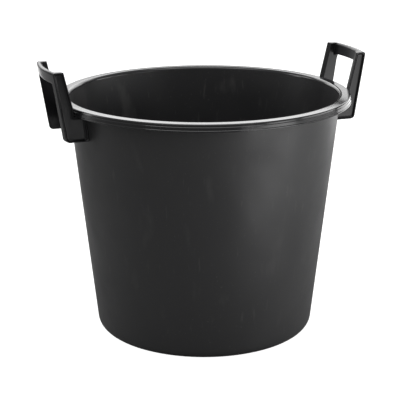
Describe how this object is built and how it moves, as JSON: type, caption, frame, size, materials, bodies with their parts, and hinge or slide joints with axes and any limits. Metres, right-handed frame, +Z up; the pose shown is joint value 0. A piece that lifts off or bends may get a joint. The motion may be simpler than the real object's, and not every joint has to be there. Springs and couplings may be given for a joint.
{
  "type": "mortar mixing tub",
  "caption": "Black plastic mortar mixing tub: round tapered body with a stepped rolled rim and upright open handles that lean out from opposite sides of the rim.",
  "frame": {"origin": "centre of the foot ring, on the ground under the tub's axis", "axes": "+Z up along the tub's axis, +X towards the right handle, +Y towards the side without a handle"},
  "size_m": [0.5832, 0.5184, 0.492],
  "materials": {
    "tub_plastic": "satin black, moulded polyethylene, glossier on the rim",
    "handle_plastic": "semi-gloss black, moulded polypropylene"
  },
  "bodies": {
    "root": {"tub_shell": "tub_plastic", "handle_left": "handle_plastic", "handle_right": "handle_plastic"}
  },
  "joints": []
}
